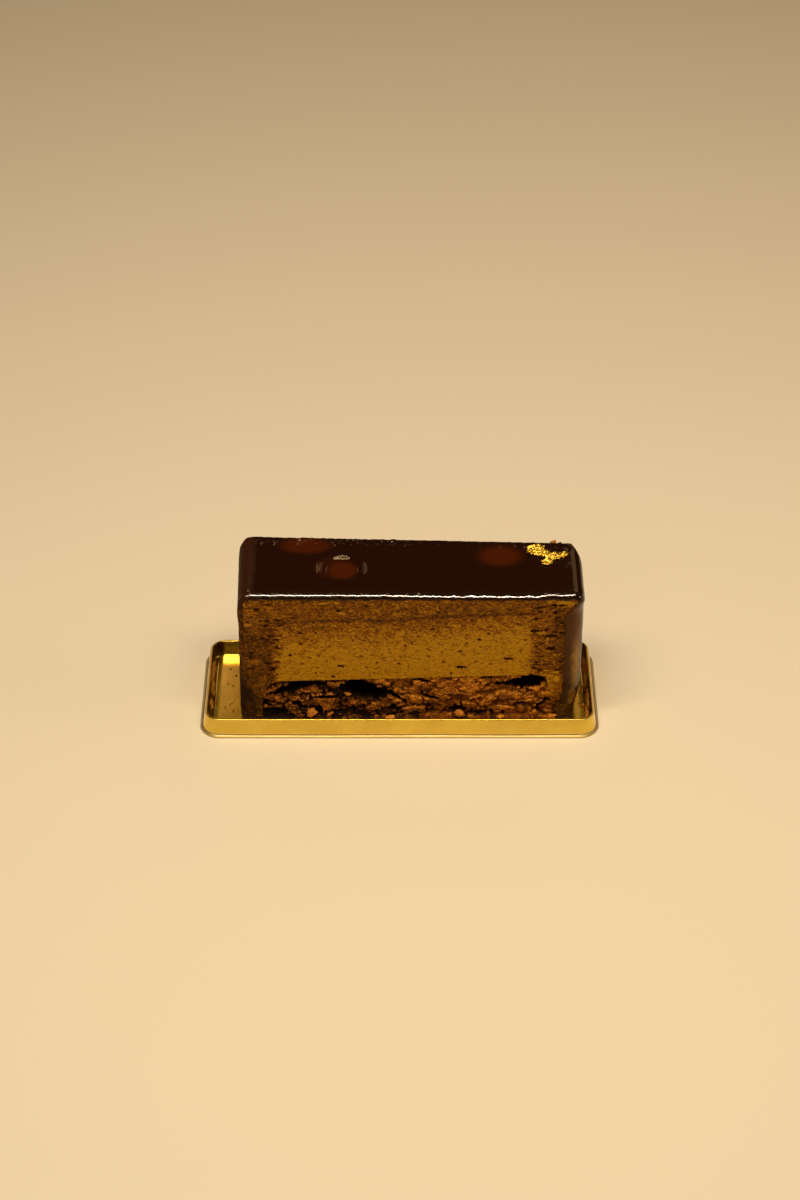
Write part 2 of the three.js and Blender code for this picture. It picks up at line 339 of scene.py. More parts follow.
glaze_low, glaze_high = (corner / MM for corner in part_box("glaze"))
base_low, base_high = (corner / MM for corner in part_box("base"))
insert_low, insert_high = (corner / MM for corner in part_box("insert"))
LEFT, RIGHT = -51.3, glaze_high.x  # at the front cut
FRONT, TOP, FLOOR = glaze_low.y, glaze_high.z, base_low.z
BACK_LEFT, BACK_RIGHT = glaze_high.y, glaze_high.y - 3.85
INSERT_RISE = 2.5  # of the insert's underside, from its left end to its right end
ROOF_GAP = 0.1  # between the biscuit and the cream over it
SHADED = 3.0  # depth past which the biscuit is painted black, as shade in its hollows
BASE_CELLS = (430, 10, 74)  # along X, Y and Z
LUMP_SIZES = ((7.6, 2.9, 1.0), (3.0, 1.4, 0.4))  # width, height and how far they stand out

# Hollows in the cuts, as slanted ovals: x, z, half width, half height, depth, tilt in degrees.
FRONT_HOLLOWS = [
    (-32.6, 14.0, 9.0, 1.5, 7.0, 19), (-29.5, 15.3, 5.0, 1.3, 7.0, 6),
    (-22.5, 9.9, 6.0, 0.75, 5.0, 4), (-11.0, 12.2, 7.2, 2.9, 7.0, -14),
    (-15.0, 14.8, 3.2, 2.0, 7.0, 25), (-2.6, 11.3, 4.2, 0.8, 4.0, -36),
    (1.3, 8.2, 1.6, 0.6, 3.0, -58), (6.5, 16.4, 3.4, 0.6, 3.0, -6),
    (28.2, 17.9, 2.4, 0.6, 4.0, 5), (36.5, 15.9, 8.4, 1.0, 7.0, 9),
    (40.6, 15.9, 5.8, 2.8, 8.0, 9), (18.5, 4.8, 3.4, 1.0, 3.0, 6),
    (9.5, 10.0, 3.4, 0.6, 2.6, -12), (38.8, 7.3, 2.1, 0.9, 2.6, 0),
    (45.7, 7.4, 3.2, 0.7, 2.6, 38), (-33.0, 7.2, 1.7, 0.8, 2.4, 0),
    (-19.0, 4.0, 2.6, 0.6, 2.4, 4), (-1.8, 5.2, 2.0, 0.7, 2.4, -4),
    (-42.0, 6.4, 2.0, 0.5, 2.0, -20),
]
BACK_HOLLOWS = [
    (-29.0, 13.9, 8.2, 1.7, 7.0, 9), (-9.0, 13.9, 6.0, 1.8, 6.0, -7),
    (-3.0, 9.6, 4.4, 0.8, 4.0, 30), (12.0, 16.3, 5.0, 0.8, 4.0, 4),
    (30.0, 16.0, 7.0, 1.7, 7.0, 6), (41.0, 9.4, 3.6, 0.9, 3.0, -28),
    (21.0, 6.2, 3.6, 0.8, 3.0, 10), (-38.5, 6.0, 3.0, 0.8, 2.6, 14),
    (-18.0, 5.0, 3.2, 0.7, 2.4, -8),
]


def back_at(x):
    return mix(BACK_LEFT, BACK_RIGHT, (x - LEFT) / (RIGHT - LEFT))


def insert_floor_at(x):
    return insert_low.z + INSERT_RISE * (x - insert_low.x) / (insert_high.x - insert_low.x)


def unit_block(cuts):
    """A box from 0 to 1, its faces cut into a grid of cells along X, Y and Z."""
    bm = bmesh.new()
    bmesh.ops.create_cube(bm, size=1, matrix=Matrix.Translation((0.5, 0.5, 0.5)))
    for axis, cells in enumerate(cuts):
        uncut = [e for e in bm.edges if abs(e.verts[0].co[axis] - e.verts[1].co[axis]) > 0.9]
        bmesh.ops.subdivide_edges(bm, edges=uncut, cuts=cells - 1, use_grid_fill=True)
    return bm


def wave(x, y, z):
    """Smooth noise about 0, with waves about one unit long."""
    return noise.noise(Vector((x, y, z)))


def in_oval(dx, dy, long, short, turn):
    """Distance from the middle of a turned oval, which is 1 on its edge."""
    along = (dx * math.cos(turn) + dy * math.sin(turn)) / long
    across = (dy * math.cos(turn) - dx * math.sin(turn)) / short
    return math.hypot(along, across)


def hollow_at(x, z, hollows):
    """Depth of the hollows at this place in a cut."""
    deepest = 0.0
    ragged = 0.34 * noise.fractal(Vector((x / 2.2, 40, z / 1.4)), 0.8, 2.0, 3)
    for at_x, at_z, half_width, half_height, depth, tilt in hollows:
        if abs(x - at_x) > half_width + 1 or abs(z - at_z) > half_width + 1:
            continue
        away = in_oval(x - at_x, z - at_z, half_width, half_height, math.radians(tilt))
        deepest = max(deepest, depth * (1 - ramp(away + ragged, 0.75, 1.1)))
    return deepest


def clumps(x, z, seed):
    """How far the crumbled cut lies behind the knife's plane, hollows aside, and a shade for it."""
    spot = Vector((x, seed * 31.0, z))
    bend = noise.noise_vector(spot * 0.25) * 2.2 + noise.noise_vector(spot * 0.8) * 0.9
    depth, shade = 0.5, 0.0
    for wide, tall, share in LUMP_SIZES:
        lump = Vector(((x + bend.x) / wide, seed * 3.0 + wide, (z + bend.z) / tall))
        reach, centres = noise.voronoi(lump)
        own = noise.noise_vector(centres[0] * 7.3)
        depth += share * (1.2 * own.x + 1.9 * own.y * (lump.x - centres[0].x))
        depth += share * 2.2 * (own.z - 0.12) * (lump.z - centres[0].z)
        depth += share * 1.5 * (1 - ramp(reach[1] - reach[0], 0.0, 0.17))
        shade += share * 1.9 * noise.noise(centres[0] * 3.7)
    torn = Vector(((x + 0.6 * bend.z) / 2.4, seed * 5.0, (z + 0.5 * bend.x) / 1.3))
    depth += 0.32 * (0.75 - noise.ridged_multi_fractal(torn, 0.8, 2.1, 4, 1.0, 1.8))
    grit = noise.fractal(Vector((x / 0.9, seed * 8.0, z / 0.7)), 0.6, 2.0, 3)
    shade += 1.0 * noise.fractal(torn * 0.8, 0.7, 2, 3) + 0.7 * grit
    return max(0.05, depth - 0.2 * grit), shade


bm = unit_block(BASE_CELLS)
recess = bm.verts.layers.float.new("recess")
for vert in bm.verts:
    x, share, w = mix(base_low.x, base_high.x, vert.co.x), vert.co.y, vert.co.z
    at_front = share < 0.5
    hollows, seed = (FRONT_HOLLOWS, 1) if at_front else (BACK_HOLLOWS, 2)
    roof = insert_floor_at(x) - ROOF_GAP - 0.6 * abs(wave(x / 1.7, 8, seed))
    z = mix(FLOOR, roof, w)
    depth, shade = clumps(x, z, seed)
    depth *= mix(0.4, 1.0, ramp(z, FLOOR, FLOOR + 1.5))
    hollow = hollow_at(x, z, hollows)
    depth += hollow
    front = FRONT + (depth if at_front else 0)
    back = back_at(x) - (0 if at_front else depth)
    y = mix(front, back, share)
    shake = noise.noise_vector(Vector((x * 1.3, y * 1.3, z * 1.9))) * 0.3
    if 0.001 < w < 0.999 and 0.001 < vert.co.x < 0.999:
        x += shake.x
        z += shake.z
    if w > 0.999:
        z -= 0.8 * abs(shake.z)
    vert.co = (x, y, z)
    # The biscuit is darker in its left half than in its right, and painted shade darkens its foot next to
    # the tray's floor.
    foot_shade = 1 - ramp(z + 0.8 * wave(x / 4, 7, 1), FLOOR + 2.0, FLOOR + 4.8)
    shade += mix(0.9, -0.9, ramp(x, -30, 25)) + 1.9 * foot_shade
    # The depth, counted twice in the hollows, becomes painted shade in the colour: the deeper, the
    # darker.
    vert[recess] = depth + 2 * hollow + shade


def biscuit_finish(name, moist=(0.21, 0.063, 0.007), proud=(0.82, 0.29, 0.024)):
    """Dark biscuit: painted paler where it stands proud, as a highlight where light falls, mixed with
    patches and speckles of its own paler tone; painted black as shade in its hollows; gritty all over.
    """
    material, place, paint = new_material(name, Specular_Tint=(1.0, 0.6, 0.15, 1), IOR=1.38)
    depth = place.painted("recess")
    speckle = place.stretched((0.7, 1, 1.2)).grain(1100, 4, 0.7)
    patch = place.stretched((0.6, 1, 1.4)).grain(230, 3)
    # Painted highlight: where the biscuit stands proud it is paler, as where light falls on it.
    pale = depth.between(2.2, 0.0) * (0.4 + 0.6 * patch.between(0.36, 0.62)) * speckle.between(0.34, 0.6)
    # Painted shade: deeper in the cut the biscuit goes dark, and black past SHADED.
    dark = depth.between(1.0, SHADED).blend(moist, (0.006, 0.0015, 0.0004))
    grit = place.cells(1500).bumped(0.6, 0.0005)
    paint(
        Base_Color=pale.blend(dark, proud),
        Roughness=0.8 - 0.4 * patch.between(0.52, 0.64),
        Normal=speckle.bumped(0.8, 0.0005, grit),
    )
    return material


biscuit = biscuit_finish("chocolate_biscuit")
base = finished("biscuit_base", bm, biscuit)
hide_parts("base")

# ---------- Biscuit crumbs on the cuts ----------
# Broken pieces of the biscuit that the knife turned over and pressed back into the cuts.

CRUMBS_ON_A_CUT = 90
draw = random.Random(21)


def crumb(bm, place, reach, spin, detail=2):
    """One broken, angular crumb; gives its vertices."""
    made = bmesh.ops.create_icosphere(bm, subdivisions=detail, radius=1)["verts"]
    offset = Vector(place) * 3.7
    for vert in made:
        rough = noise.noise_vector(vert.co * 1.3 + offset) * 0.55
        vert.co = vert.co * (0.82 + 0.3 * noise.noise(vert.co * 2.1 + offset)) + rough
    turned = Matrix.Rotation(spin[0], 3, "X") @ Matrix.Rotation(spin[1], 3, "Y")
    for vert in made:
        vert.co = turned @ Vector([vert.co[axis] * reach[axis] for axis in range(3)]) + Vector(place)
    return made


bm = bmesh.new()
recess = bm.verts.layers.float.new("recess")
for hollows, seed in ((FRONT_HOLLOWS, 1), (BACK_HOLLOWS, 2)):
    for _ in range(CRUMBS_ON_A_CUT):
        x = draw.uniform(base_low.x - 0.5, base_high.x + 0.8)
        z = draw.uniform(FLOOR + 0.4, insert_floor_at(x) - 0.8)
        size = 0.35 + 0.9 * draw.random() ** 2
        reach = (size * draw.uniform(0.9, 1.5), size * 0.8, size * draw.uniform(0.45, 0.8))
        spin = (draw.uniform(-0.6, 0.6), draw.uniform(-0.7, 0.7))
        shade = 1.8 * draw.random() ** 1.5
        if hollow_at(x, z, hollows) > 1.0:
            continue
        depth = max(clumps(x, z, seed)[0], 0.15 + 0.5 * reach[1])
        y = FRONT + depth if seed == 1 else back_at(x) - depth
        for vert in crumb(bm, (x, y, z), reach, spin, 2 if size < 0.7 else 3):
            vert[recess] = shade
broken = finished("broken_biscuit", bm, biscuit_finish("broken_biscuit"))

# ---------- Cream insert ----------
# A bar of pale cream that was frozen and laid into the mousse, and runs from cut to cut. The knife
# drew fine ripples over its face and opened the air bubbles in it.

INSERT_ROOF_LEFT = 39.6
INSERT_ROOF_RIGHT = 43.4
INSERT_CORNER = 2.2
RIPPLE = 0.05
INSERT_CELLS = (390, 5, 120)  # along X, Y and Z

# The bubbles that show most in the front cut: x, z, width, height.
FRONT_BUBBLES = [
    (-31.2, 35.7, 1.3, 0.8), (-26.3, 35.8, 0.8, 0.6), (-38.7, 33.0, 1.8, 0.8),
    (-38.9, 30.4, 1.6, 0.6), (-38.0, 29.6, 1.2, 0.5), (-38.6, 24.4, 1.4, 0.6),
    (-31.3, 31.6, 0.8, 0.6), (-34.6, 26.9, 1.1, 0.8), (-28.4, 25.9, 0.9, 0.5),
    (-25.6, 26.6, 0.8, 0.4), (-23.0, 24.5, 0.7, 0.5), (-30.9, 23.4, 0.9, 0.4),
    (-26.1, 21.9, 1.0, 0.4), (-18.7, 22.6, 1.9, 0.8), (-21.1, 18.2, 1.3, 0.9),
    (-8.6, 27.0, 0.8, 0.5), (-0.2, 23.6, 0.9, 0.6), (10.5, 37.3, 1.2, 0.7),
    (5.9, 34.5, 0.9, 0.6), (28.0, 35.5, 1.2, 0.7), (25.2, 33.1, 1.3, 0.7),
    (39.7, 33.0, 0.9, 0.6), (19.2, 28.5, 1.4, 0.5), (14.1, 24.3, 1.0, 0.5),
    (24.2, 24.4, 0.8, 0.5), (19.4, 22.1, 3.0, 1.0), (34.6, 25.5, 2.3, 0.8),
    (12.2, 44.2, 1.1, 0.6), (-33.1, 41.8, 2.2, 0.5), (-38.1, 40.9, 2.0, 0.6),
    (-19.0, 44.8, 1.3, 0.9), (42.8, 41.3, 1.2, 0.9), (48.7, 43.9, 1.5, 1.3),
    (49.6, 39.1, 1.0, 0.5), (46.1, 37.1, 1.3, 0.9), (47.5, 34.6, 3.6, 1.0),
    (47.6, 29.5, 2.6, 1.0), (43.2, 30.6, 1.3, 0.6), (45.0, 26.6, 2.2, 0.6),
    (43.4, 23.2, 1.8, 0.7), (51.0, 24.4, 1.4, 0.8),
]


def roof_line_at(x):
    low, high = insert_low.x, insert_high.x
    return mix(INSERT_ROOF_LEFT, INSERT_ROOF_RIGHT, (x - low) / (high - low))


def insert_roof_at(x):
    """The roof line, rounded off at both ends."""
    roof = roof_line_at(x)
    inward = min(x - insert_low.x, insert_high.x - x)
    if inward < INSERT_CORNER:
        fall = INSERT_CORNER - max(0.0, inward)
        roof -= INSERT_CORNER - math.sqrt(INSERT_CORNER**2 - fall**2)
    return roof


def knife_marks(x, z, seed):
    """How far the cut through the creams lies behind the knife's plane."""
    bend = 1.2 * wave(x / 7.0, seed * 9.0, z / 7.0)
    drag = wave((x + bend) / 1.8, seed * 17.0, (z + bend) / 0.8)
    sway = wave(x / 13.0, seed * 7.0, z / 9.0)
    mottle = noise.fractal(Vector((x / 1.5, seed * 3.0, z / 0.85)), 0.9, 2.0, 3)
    return 0.16 + RIPPLE * drag + 0.1 * sway + 0.07 * mottle - 0.25 * swirl_at(x, z, seed)


def swirl_at(x, z, seed):
    """Fine wavy grain that the knife drew through the creams, lighter and darker, about 0."""
    turn = noise.noise_vector(Vector((x / 4.5, seed * 11.0, z / 4.5)))
    bent = Vector(((x + 1.6 * turn.x) / 1.5, seed * 13.0, (z + 1.6 * turn.z) / 0.55))
    ridge = 1 - 2.4 * abs(noise.noise(bent))
    crossed = wave((x + turn.z) / 0.8, seed * 19.0, (z + turn.x) / 0.7)
    calm = mix(0.35, 1.0, ramp(wave(x / 9, seed * 23.0, z / 6), -0.25, 0.3))
    return calm * 0.2 * (ridge - 0.45) + 0.16 * crossed


def cream_tone(x, z, seed):
    """Shade of the creams from 0, nearly black, over 0.5, mousse brown, to 1, the gold of the insert."""
    drift = wave(x / 3.2, seed * 4.0, z / 2.6)
    fuzz = noise.fractal(Vector((x / 1.4, seed * 6.0, z / 0.7)), 0.8, 2.0, 3)
    line = roof_line_at(x) - 0.8 * math.exp(-(((x + 2) / 9) ** 2))
    below = line - z + 0.3 * drift
    left_leg = (1 - ramp(x, -44, -37)) * (1 - ramp(z, 33, 43))
    mousse_tone = mix(0.5, 0.22, left_leg)
    gold_tone = mix(0.54, 1.0, ramp(below + 1.5 * drift, -1.0, 13.5 - 0.07 * x))
    inside = ramp(x + 1.8 * drift + 1.2 * fuzz, insert_low.x - 0.6, insert_low.x + 3.6)
    inside *= 1 - ramp(x + 2.0 * drift + 1.6 * fuzz, insert_high.x - 1.6, insert_high.x + 1.8)
    inside *= ramp(below, -0.3, 0.6)
    tone = mix(mousse_tone, gold_tone, inside)
    skin = (1 - ramp(abs(below + 0.2), 0.3, 1.0)) * ramp(x, -44, -41) * (1 - ramp(x, 41, 44))
    tone -= 0.27 * skin + 0.1 * (1 - ramp(abs(x - insert_low.x + 1.3), 0.4, 1.6)) * (1 - ramp(z, 38, 41))
    # Painted shade low on both legs, next to the tray's floor.
    foot = (1 - ramp(z, 4, 15)) * (1 - ramp(x, -46, -42)) + 0.9 * (1 - ramp(z, 3, 12)) * ramp(x, 47, 51)
    # Painted shade where the right leg's cut rounds the corner towards the film.
    shade_beside_film = ramp(x + 1.2 * drift + fuzz, 46.5, 52.0) * (1 - ramp(z, 43, 47))
    tone -= 0.33 * shade_beside_film
    chunk = ramp(x, 43, 46) * (1 - ramp(z, 17, 24)) * ramp(z, 8, 12)
    return tone - 0.36 * foot + 0.34 * chunk + 0.13 * drift + 0.2 * fuzz


def open_bubbles(bm, cut_at, inward, bubbles, tone):
    """Sinks the cut's vertices into each bubble that the knife opened, paints shade into them and a
    highlight on their lower lips.
    """
    on_cut = [v for v in bm.verts if abs(v.co.y - cut_at(v.co.x)) < 1.5]
    tree = kdtree.KDTree(len(on_cut))
    for number, vert in enumerate(on_cut):
        tree.insert((vert.co.x, 0, vert.co.z), number)
    tree.balance()
    for x, z, width, height in bubbles:
        width, height = 1.25 * width, 1.3 * height
        for spot, number, _ in tree.find_range((x, 0, z), width):
            vert = on_cut[number]
            wobble = 1 + 0.35 * wave(spot.x * 1.7, x, spot.z * 1.7)
            reach = math.hypot((spot.x - x) / (width / 2), (spot.z - z) / (height / 2)) * wobble
            if reach < 1.4:
                round_off = math.sqrt(max(0.0, 1 - min(1.0, reach) ** 2))
                lip = max(0.0, 1 - abs(reach - 1.15) / 0.25)
                vert.co.y += inward * (0.6 * height * round_off - 0.08 * lip)
                # Painted highlight on the bubble's lower lip, where light from above falls.
                vert[tone] += (0.26 if spot.z < z else 0.06) * lip
                # Painted shade inside the bubble, deeper for the wider ones.
                vert[tone] *= 1 - mix(0.45, 0.9, ramp(width, 0.5, 1.8)) * ramp(round_off, 0.1, 0.6)


def scattered_bubbles(count, low, high, seed, largest, flat=0.6):
    """Small bubbles at random places between two corners; most of them are tiny."""
    scatter = random.Random(seed)
    made = []
    for _ in range(count):
        width = 0.4 + (largest - 0.4) * scatter.random() ** 3
        height = width * flat * scatter.uniform(0.7, 1.3)
        x = scatter.uniform(low[0], high[0])
        made.append((x, scatter.uniform(low[1], high[1]), width, height))
    return made


def cream_finish(name):
    """Moist airy cream, from the painted shade of an open bubble over brown to gold."""
    material, place, paint = new_material(name, Specular_Tint=(1.0, 0.5, 0.04, 1))
    tone = place.painted("tone")
    mottle = place.stretched((0.8, 1, 1.3)).grain(620, 4, 0.6)
    fine = place.stretched((0.7, 1, 1.1)).grain(1900, 3, 0.6)
    stops = [
        (0.0, (0.02, 0.004, 0.0003)),
        (0.25, (0.085, 0.02, 0.0008)),
        (0.5, (0.205, 0.06, 0.0009)),
        (0.62, (0.245, 0.074, 0.0014)),
        (1.0, (0.5, 0.237, 0.0065)),
    ]
    swirl = place.painted("swirl")
    varied = tone + 0.35 * swirl + 0.95 * (mottle - 0.5) + 2.1 * (fine - 0.5)
    colour = varied.node("ValToRGB", {"stops": stops}, {"Fac": varied})
    paint(
        Base_Color=colour,
        Roughness=0.34 + 0.4 * mottle,
        Normal=fine.bumped(0.8, 0.0007, mottle.bumped(0.6, 0.0006)),
    )
    return material


bm = unit_block(INSERT_CELLS)
tone = bm.verts.layers.float.new("tone")
swirl = bm.verts.layers.float.new("swirl")
for vert in bm.verts:
    u, v, w = vert.co
    x = mix(insert_low.x, insert_high.x, u)
    z = mix(insert_floor_at(x), insert_roof_at(x), w)
    front = FRONT + knife_marks(x, z, 1)
    back = back_at(x) - knife_marks(x, z, 2)
    vert.co = (x, mix(front, back, v), z)
    vert[tone] = cream_tone(x, z, 1 if v < 0.5 else 2)
    vert[swirl] = swirl_at(x, z, 1 if v < 0.5 else 2)
inside = ((insert_low.x + 1, insert_low.z + 2), (insert_high.x - 1, insert_high.z - 2))
along_left = scattered_bubbles(60, (insert_low.x - 1.5, 17), (insert_low.x + 3, 39), 31, 2.0, 0.4)
tiny = scattered_bubbles(170, *inside, 5, 0.9)
open_bubbles(bm, lambda x: FRONT, 1, FRONT_BUBBLES + along_left + tiny, tone)
open_bubbles(bm, back_at, -1, scattered_bubbles(240, *inside, 6, 1.5), tone)
insert = finished("cream_insert", bm, cream_finish("pale_cream"))
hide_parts("insert")

# ---------- Mousse ----------
# Airy chocolate mousse, piped round the insert. It shows in the cuts as a band over the insert and
# a leg at each end, coarser than the insert, with larger bubbles and a few torn lumps.

SHOULDER = 3.4
LEFT_SKEW = 0.8  # how much further out the left end stands at its back
LEFT_LEAN = 1.0
RIGHT_TUCK = 1.4
TUCK_HEIGHT = 14.0
GLAZE_TOP = 1.3
GLAZE_END = 0.9
TOP_EDGE = 1.4  # rounding of the glaze along the front cut
BACK_EDGE = 0.5  # and along the back cut
BACK_CORNERS = {-1: 3.0, 1: 7.0}  # radius of the upright corners at the back, left and right
UNDER_TOP = 1.15  # depth of the mousse's own outline under the outside of the glaze
UNDER_END = 0.55

# Lumps that stand proud of the front cut, with a painted highlight of lighter orange where light falls on
# them: x, z, half width, half height.
LIT_LUMPS = [
    (51.8, 47.6, 3.4, 1.2), (46.6, 48.3, 1.3, 0.6), (-49.6, 47.2, 1.5, 1.4),
    (-47.6, 39.2, 1.3, 0.8), (-45.9, 24.6, 2.4, 0.7), (-17.8, 43.6, 1.4, 0.9),
    (-24.0, 47.6, 1.8, 0.5), (-19.5, 47.8, 0.9, 0.6), (49.9, 20.2, 1.7, 0.9),
    (50.0, 17.6, 1.4, 1.3), (46.9, 16.2, 0.9, 1.4), (44.6, 35.9, 2.2, 0.5),
    (50.3, 27.4, 1.8, 0.6),
]


def left_end(z):
    return LEFT + LEFT_LEAN * min(1.0, (z - FLOOR) / (TOP - SHOULDER - FLOOR))


def skew_at(x, y):
    leg = 1 - ramp(x, LEFT + 2, insert_low.x)
    return LEFT_SKEW * leg * (y - FRONT) / (BACK_LEFT - FRONT)


def right_end(z):
    return RIGHT - RIGHT_TUCK * max(0.0, 1 - (z - FLOOR) / (TUCK_HEIGHT - FLOOR))


def front_corner(side, z):
    """Radius of an upright front corner, which opens towards the foot."""
    if side < 0:
        return mix(5.5, 1.6, ramp(z, 5.0, 28.0))
    return mix(6.2, 2.0, ramp(z, 42.0, 50.0))


def spread(path, count):
    """The path again, as count equal steps."""
    lengths = [0.0]
    for a, b in zip(path, path[1:]):
        lengths.append(lengths[-1] + (b - a).length)
    points = []
    leg = 0
    for step in range(count + 1):
        want = lengths[-1] * step / count
        while leg < len(path) - 2 and lengths[leg + 1] < want:
            leg += 1
        span = lengths[leg + 1] - lengths[leg]
        points.append(path[leg].lerp(path[leg + 1], (want - lengths[leg]) / span if span else 0))
    return points


def arch(path, corners, counts):
    """A path over the insert in even steps: up one leg to a corner, across, and down the other."""
    marks = [0]
    for corner in corners:
        marks.append(min(range(len(path)), key=lambda i: (path[i] - Vector(corner)).length))
    marks.append(len(path) - 1)
    steps = [path[0]]
    for start, end, count in zip(marks, marks[1:], counts):
        steps += spread(path[start : end + 1], count)[1:]
    return steps


LEG_STEPS, BAND_STEPS = 165, 350
CELLS_DEEP, CELLS_OUT = 6, 46  # from cut to cut, and from the insert out to the glaze
counts = (LEG_STEPS, BAND_STEPS, LEG_STEPS)
base_left, base_right = base_low.x + 0.2, base_high.x - 0.2
insert_corners = ((insert_low.x, INSERT_ROOF_LEFT), (insert_high.x, INSERT_ROOF_RIGHT))
round_insert = rounded_path(
    [
        (base_left, FLOOR, 0),
        (base_left, 9.5, 1.0),
        (-42.0, 14.5, 1.0),
        (insert_low.x, 17.2, 0.5),
        (*insert_corners[0], INSERT_CORNER),
        (*insert_corners[1], INSERT_CORNER),
        (insert_high.x, 19.4, 0.3),
        (46.5, 18.6, 1.0),
        (base_right - 1.0, 12.0, 1.0),
        (base_right, FLOOR, 0),
    ],
    8,
)
inner = arch(round_insert, insert_corners, counts)
slice_corners = ((LEFT + LEFT_LEAN + UNDER_END, TOP - UNDER_TOP), (RIGHT - UNDER_END, TOP - UNDER_TOP))
under_glaze = rounded_path(
    [
        (left_end(FLOOR) + UNDER_END, FLOOR, 0),
        (*slice_corners[0], SHOULDER),
        (*slice_corners[1], SHOULDER),
        (RIGHT - UNDER_END, TUCK_HEIGHT, 0),
        (right_end(FLOOR) - UNDER_END, FLOOR, 0),
    ],
    8,
)
outer = arch(under_glaze, slice_corners, counts)


def from_outline(x, z):
    """Depth under the glaze's outer face, how far that face is an end and not the top, and which end."""
    side = -1 if x < (LEFT + RIGHT) / 2 else 1
    end = x - left_end(z) if side < 0 else right_end(z) - x
    top = TOP - z
    if end < SHOULDER and top < SHOULDER:
        across, up = SHOULDER - end, SHOULDER - top
        return SHOULDER - math.hypot(across, up), across / (across + up), side
    return (end, 1.0, side) if end < top else (top, 0.0, side)


def set_back(depth, radius):
    """How far the rounding of an edge takes the mousse back, with the glaze's film over it."""
    rounding = max(radius, GLAZE_TOP + 0.1)
    if depth >= rounding:
        return 0.0
    behind = rounding - math.sqrt(max(0.0, rounding**2 - (rounding - depth) ** 2))
    return behind + 0.3 * (1 - ramp(depth, 0.72 * rounding, rounding))


def lump_at(x, z):
    return max(
        1 - ramp(math.hypot((x - at_x) / half_width, (z - at_z) / half_height), 0.5, 1.1)
        for at_x, at_z, half_width, half_height in LIT_LUMPS
    )


def mousse_relief(x, z, seed):
    """Coarser than the insert: torn along the knife's way, most of all in the legs."""
    tear = noise.turbulence(Vector((x / 2.8, seed * 5.0, z / 1.1)), 3, False)
    roof = insert_roof_at(min(insert_high.x, max(insert_low.x, x)))
    away = max(0.0, insert_low.x - x, x - insert_high.x, z - roof)
    coarse = 0.55 if not insert_low.x < x < insert_high.x else 0.3
    return knife_marks(x, z, seed) + coarse * min(1.0, away / 1.5) * (tear - 0.3)


steps = len(inner) - 1
bm = unit_block((steps, CELLS_DEEP, CELLS_OUT))
tone = bm.verts.layers.float.new("tone")
swirl = bm.verts.layers.float.new("swirl")
for vert in bm.verts:
    u, v, w = vert.co
    number = round(u * steps)
    x, z = inner[number].lerp(outer[number], w)
    depth, endness, side = from_outline(x, z)
    lump = lump_at(x, z)
    front = FRONT + max(0.03, mousse_relief(x, z, 1) - 0.25 * lump)
    front += set_back(depth, mix(TOP_EDGE, front_corner(side, z), endness))
    back = back_at(x) - mousse_relief(x, z, 2)
    back -= set_back(depth, mix(BACK_EDGE, BACK_CORNERS[side], endness))
    y = mix(front, back, v)
    vert.co = (x - skew_at(x, y), y, z)
    # Lumps that stand proud get a painted highlight in their tone on the front cut.
    vert[tone] = cream_tone(x, z, 1 if v < 0.5 else 2) + (0.5 * lump if v < 0.5 else 0)
    vert[swirl] = swirl_at(x, z, 1 if v < 0.5 else 2)
left_leg = scattered_bubbles(60, (LEFT + 2, 14), (insert_low.x, TOP - 3), 7, 2.0, 0.45)
right_leg = scattered_bubbles(75, (insert_high.x, 20), (RIGHT - 6.5, TOP - 3), 8, 2.4, 0.4)
band = scattered_bubbles(60, (LEFT + 3, 41), (RIGHT - 4, TOP - 2), 9, 1.4, 0.4)
shown = FRONT_BUBBLES + along_left + left_leg + right_leg + band
open_bubbles(bm, lambda x: FRONT, 1, shown, tone)
open_bubbles(bm, back_at, -1, left_leg[::2] + right_leg[::2] + band[::2], tone)
mousse = finished("mousse_layer", bm, cream_finish("chocolate_mousse"))
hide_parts("mousse")

# ---------- Glaze ----------
# Dark mirror glaze, poured warm over the frozen bar. It lies thick on top, rounds off over the
# shoulders, runs down both ends in a thinner film and laps round their upright corners.

DRIP_LEFT = 3.2
DRIP_RIGHT = 7.5
DRIP_WAVE = 2.6
DENT = (-18.1, 1.1)  # an air bubble that sank back as the glaze set
DENT_DEPTH = 0.85
DENT_FOOT, DENT_SHOULDER, DENT_LIP = 5.0, 6.8, 8.2  # radii
LIP_RISE = 0.24
BEAD = (-19.6, -4.4)  # a small bubble in the near lip of the dent
BEAD_RISE, BEAD_RADIUS = 0.75, 1.2
BULGE = 43.0  # height at which the left end swells
BULGE_OUT = 0.45
TOP_BORDER, FILM_BORDER = 0.3, 0.1  # thickness of the glaze where it ends at the cuts
TOP_STEPS, SHOULDER_STEPS, END_STEPS = 300, 14, 70
FILLET_STEPS, LEVEL_STEPS = 9, 68
MIRROR = 0.06  # roughness where the glaze shines most


def stations(*parts):
    """Every step over the given parts, each with how far along its part it lies."""
    steps = [(parts[0][0], 0.0)]
    for part, count in parts:
        steps += [(part, (step + 1) / count) for step in range(count)]
    return steps


